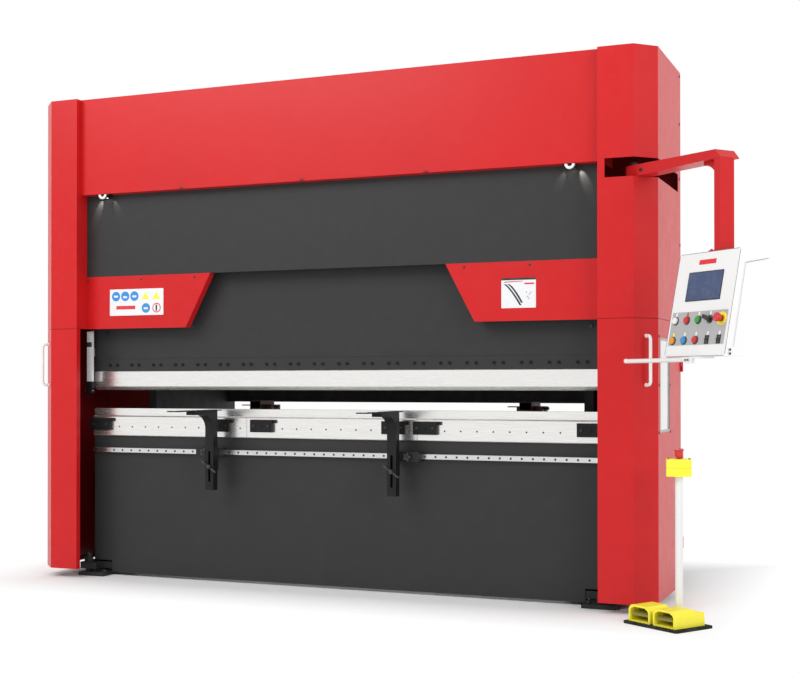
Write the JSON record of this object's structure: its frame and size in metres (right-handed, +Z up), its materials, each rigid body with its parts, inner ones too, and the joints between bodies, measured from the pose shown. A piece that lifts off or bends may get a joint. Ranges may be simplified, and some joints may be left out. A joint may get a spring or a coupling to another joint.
{
  "type": "press brake",
  "caption": "Hydraulic press brake with red side columns and header, dark ram and table, sheet supports, swinging control pendant and pedal stand.",
  "frame": {"origin": "middle of the rectangle of the four floor anchors, on the floor", "axes": "+X along the bend towards the control pendant, +Y to the machine's back, +Z up along the anchors"},
  "size_m": [4.2362, 2.0936, 2.785],
  "materials": {
    "cover_red": "gloss",
    "frame_dark": "satin",
    "ram_dark": "satin",
    "black_steel": "satin",
    "tool_steel": "ground",
    "machined": "ground",
    "white_paint": "gloss",
    "chrome": "polished",
    "tank_grey": "satin",
    "motor_blue": "satin",
    "gear_grey": "matte",
    "rubber": "matte",
    "yellow": "gloss",
    "black_plastic": "matte",
    "gauge_red": "satin",
    "btn_white": "gloss",
    "btn_red": "gloss",
    "btn_green": "gloss",
    "btn_orange": "gloss",
    "btn_blue": "gloss"
  },
  "bodies": {
    "machine": {"side_frames": "frame_dark", "cross_beams": "frame_dark", "table_beam": "ram_dark", "header_cover": "cover_red", "front_panel": "frame_dark", "wing_covers": "cover_red", "column_covers": "cover_red", "machine_feet": "black_steel", "cylinders": "frame_dark", "work_lamps": "black_plastic", "ram_guides": "machined", "linear_scales": "white_paint", "die_holders": "tool_steel", "die": "tool_steel", "die_clamps": "black_steel", "front_rail": "machined", "gauge_rails": "machined", "oil_tank": "tank_grey", "pump_motor": "motor_blue", "control_gear": "gear_grey", "stand_base": "rubber", "pedal_hoods": "yellow", "stand_post": "white_paint", "stop_box": "yellow"},
    "ram": {"ram_plate": "ram_dark", "punch": "tool_steel", "punch_screws": "black_steel", "piston_rods": "chrome"},
    "door_left": {"door_left": "cover_red", "door_handle_left": "white_paint"},
    "door_right": {"door_right": "cover_red", "door_handle_right": "white_paint"},
    "carriage_left": {"carriage_left": "black_steel"},
    "support_left": {"support_left": "black_steel"},
    "clamp_lever_left": {"clamp_lever_left": "black_plastic"},
    "star_knob_left": {"star_knob_left": "black_plastic"},
    "carriage_right": {"carriage_right": "black_steel"},
    "support_right": {"support_right": "black_steel"},
    "clamp_lever_right": {"clamp_lever_right": "black_plastic"},
    "star_knob_right": {"star_knob_right": "black_plastic"},
    "gauge_carriage": {"gauge_carriage": "machined"},
    "gauge_beam": {"gauge_beam": "frame_dark"},
    "finger_left": {"finger_left": "gauge_red"},
    "finger_right": {"finger_right": "gauge_red"},
    "control_arm": {"control_arm": "cover_red"},
    "pendant": {"pendant": "white_paint", "pendant_handle": "white_paint"},
    "button_white": {"button_white": "btn_white"},
    "button_red": {"button_red": "btn_red"},
    "button_green": {"button_green": "btn_green"},
    "selector_lever": {"selector_lever": "black_plastic"},
    "pendant_stop": {"pendant_stop": "btn_red"},
    "button_orange": {"button_orange": "btn_orange"},
    "button_blue": {"button_blue": "btn_blue"},
    "button_reset": {"button_reset": "btn_red"},
    "rocker_left": {"rocker_left": "black_plastic"},
    "rocker_right": {"rocker_right": "black_plastic"},
    "pedal_left": {"pedal_left": "black_plastic"},
    "pedal_right": {"pedal_right": "black_plastic"},
    "stand_stop": {"stand_stop": "btn_red"}
  },
  "joints": [
    {"name": "ram_stroke", "type": "slide", "parent": "machine", "child": "ram", "axis": [0, 0, 1], "range_m": [-0.1, 0.06]},
    {"name": "door_left_hinge", "type": "hinge", "parent": "machine", "child": "door_left", "pos_m": [-1.826, -0.089, 0.72], "axis": [0, 0, -1], "range_deg": [0, 95]},
    {"name": "door_right_hinge", "type": "hinge", "parent": "machine", "child": "door_right", "pos_m": [1.826, -0.089, 0.72], "axis": [0, 0, 1], "range_deg": [0, 95]},
    {"name": "carriage_left_slide", "type": "slide", "parent": "machine", "child": "carriage_left", "axis": [1, 0, 0], "range_m": [-0.6, 0.4]},
    {"name": "support_left_height", "type": "slide", "parent": "carriage_left", "child": "support_left", "axis": [0, 0, 1], "range_m": [-0.06, 0.06]},
    {"name": "clamp_lever_left_turn", "type": "hinge", "parent": "carriage_left", "child": "clamp_lever_left", "pos_m": [-0.683, -0.759, 0.662], "axis": [0, 1, 0], "range_deg": [-40, 40]},
    {"name": "star_knob_left_turn", "type": "hinge", "parent": "carriage_left", "child": "star_knob_left", "pos_m": [-0.749, -0.698, 0.738], "axis": [0, 1, 0], "range_deg": [-180, 180]},
    {"name": "carriage_right_slide", "type": "slide", "parent": "machine", "child": "carriage_right", "axis": [1, 0, 0], "range_m": [-0.5, 0.7]},
    {"name": "support_right_height", "type": "slide", "parent": "carriage_right", "child": "support_right", "axis": [0, 0, 1], "range_m": [-0.06, 0.06]},
    {"name": "clamp_lever_right_turn", "type": "hinge", "parent": "carriage_right", "child": "clamp_lever_right", "pos_m": [0.422, -0.759, 0.662], "axis": [0, 1, 0], "range_deg": [-40, 40]},
    {"name": "star_knob_right_turn", "type": "hinge", "parent": "carriage_right", "child": "star_knob_right", "pos_m": [0.488, -0.698, 0.738], "axis": [0, 1, 0], "range_deg": [-180, 180]},
    {"name": "gauge_depth", "type": "slide", "parent": "machine", "child": "gauge_carriage", "axis": [0, 1, 0], "range_m": [-0.48, 0.38]},
    {"name": "gauge_height", "type": "slide", "parent": "gauge_carriage", "child": "gauge_beam", "axis": [0, 0, 1], "range_m": [-0.035, 0.06]},
    {"name": "finger_left_slide", "type": "slide", "parent": "gauge_beam", "child": "finger_left", "axis": [1, 0, 0], "range_m": [-0.25, 0.5]},
    {"name": "finger_right_slide", "type": "slide", "parent": "gauge_beam", "child": "finger_right", "axis": [1, 0, 0], "range_m": [-0.6, 0.09]},
    {"name": "control_arm_swing", "type": "hinge", "parent": "machine", "child": "control_arm", "pos_m": [1.7, -0.705, 2.167], "axis": [0, 0, -1], "range_deg": [-45, 80]},
    {"name": "pendant_swivel", "type": "hinge", "parent": "control_arm", "child": "pendant", "pos_m": [2.20253, -1.12667, 1.7], "axis": [0, 0, 1], "range_deg": [-10, 80]},
    {"name": "button_white_press", "type": "slide", "parent": "pendant", "child": "button_white", "axis": [0.6298, 0.7505, -0.2001], "range_m": [0, 0.004], "stiffness_N_per_m": 400, "springref_m": -0.003},
    {"name": "button_red_press", "type": "slide", "parent": "pendant", "child": "button_red", "axis": [0.6298, 0.7505, -0.2001], "range_m": [0, 0.004], "stiffness_N_per_m": 400, "springref_m": -0.003},
    {"name": "button_green_press", "type": "slide", "parent": "pendant", "child": "button_green", "axis": [0.6298, 0.7505, -0.2001], "range_m": [0, 0.004], "stiffness_N_per_m": 400, "springref_m": -0.003},
    {"name": "selector_turn", "type": "hinge", "parent": "pendant", "child": "selector_lever", "pos_m": [2.16353, -1.2836, 1.40864], "axis": [-0.6298, -0.7505, 0.2001], "range_deg": [-45, 45]},
    {"name": "pendant_stop_press", "type": "slide", "parent": "pendant", "child": "pendant_stop", "axis": [0.6298, 0.7505, -0.2001], "range_m": [0, 0.006], "stiffness_N_per_m": 500, "springref_m": -0.003},
    {"name": "button_orange_press", "type": "slide", "parent": "pendant", "child": "button_orange", "axis": [0.6298, 0.7505, -0.2001], "range_m": [0, 0.004], "stiffness_N_per_m": 400, "springref_m": -0.003},
    {"name": "button_blue_press", "type": "slide", "parent": "pendant", "child": "button_blue", "axis": [0.6298, 0.7505, -0.2001], "range_m": [0, 0.004], "stiffness_N_per_m": 400, "springref_m": -0.003},
    {"name": "button_reset_press", "type": "slide", "parent": "pendant", "child": "button_reset", "axis": [0.6298, 0.7505, -0.2001], "range_m": [0, 0.004], "stiffness_N_per_m": 400, "springref_m": -0.003},
    {"name": "rocker_left_tilt", "type": "hinge", "parent": "pendant", "child": "rocker_left", "pos_m": [2.15295, -1.2962, 1.3181], "axis": [0.766, -0.6428, 0], "range_deg": [-15, 15]},
    {"name": "rocker_right_tilt", "type": "hinge", "parent": "pendant", "child": "rocker_right", "pos_m": [2.21117, -1.34505, 1.3181], "axis": [0.766, -0.6428, 0], "range_deg": [-15, 15]},
    {"name": "pedal_left_press", "type": "hinge", "parent": "machine", "child": "pedal_left", "pos_m": [1.85302, -0.96002, 0.046], "axis": [0.8387, -0.5446, 0], "range_deg": [0, 10], "stiffness_Nm_per_rad": 3, "springref_deg": -5.73},
    {"name": "pedal_right_press", "type": "hinge", "parent": "machine", "child": "pedal_right", "pos_m": [1.98385, -1.04499, 0.046], "axis": [0.8387, -0.5446, 0], "range_deg": [0, 10], "stiffness_Nm_per_rad": 3, "springref_deg": -5.73},
    {"name": "stand_stop_press", "type": "slide", "parent": "machine", "child": "stand_stop", "axis": [0, 0, -1], "range_m": [0, 0.006], "stiffness_N_per_m": 500, "springref_m": -0.003}
  ]
}
